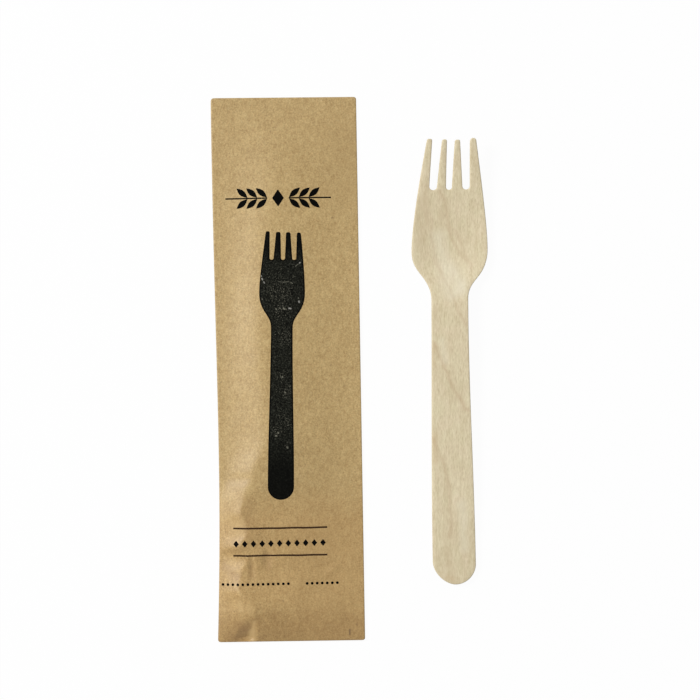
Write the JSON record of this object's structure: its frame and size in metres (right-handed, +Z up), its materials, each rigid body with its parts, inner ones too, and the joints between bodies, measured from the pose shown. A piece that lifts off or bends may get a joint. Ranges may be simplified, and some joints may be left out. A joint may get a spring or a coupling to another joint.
{
  "type": "paper sleeve pack of wooden forks",
  "caption": "Flat sealed kraft paper sleeve holding a wooden fork, with a loose pressed veneer fork of the same kind lying beside it.",
  "frame": {"origin": "middle of the two pieces' joint box, on the table that they lie on", "axes": "+Y along the pieces towards the loose fork's tips, +X across from the sleeve to the loose fork, +Z up from the table"},
  "size_m": [0.0992, 0.1952, 0.0071],
  "materials": {
    "kraft_paper": "uncoated brown kraft paper with black print",
    "birch_veneer": "bare sanded birch"
  },
  "bodies": {
    "root": {"paper_sleeve": "kraft_paper", "wooden_fork": "birch_veneer"}
  },
  "joints": []
}
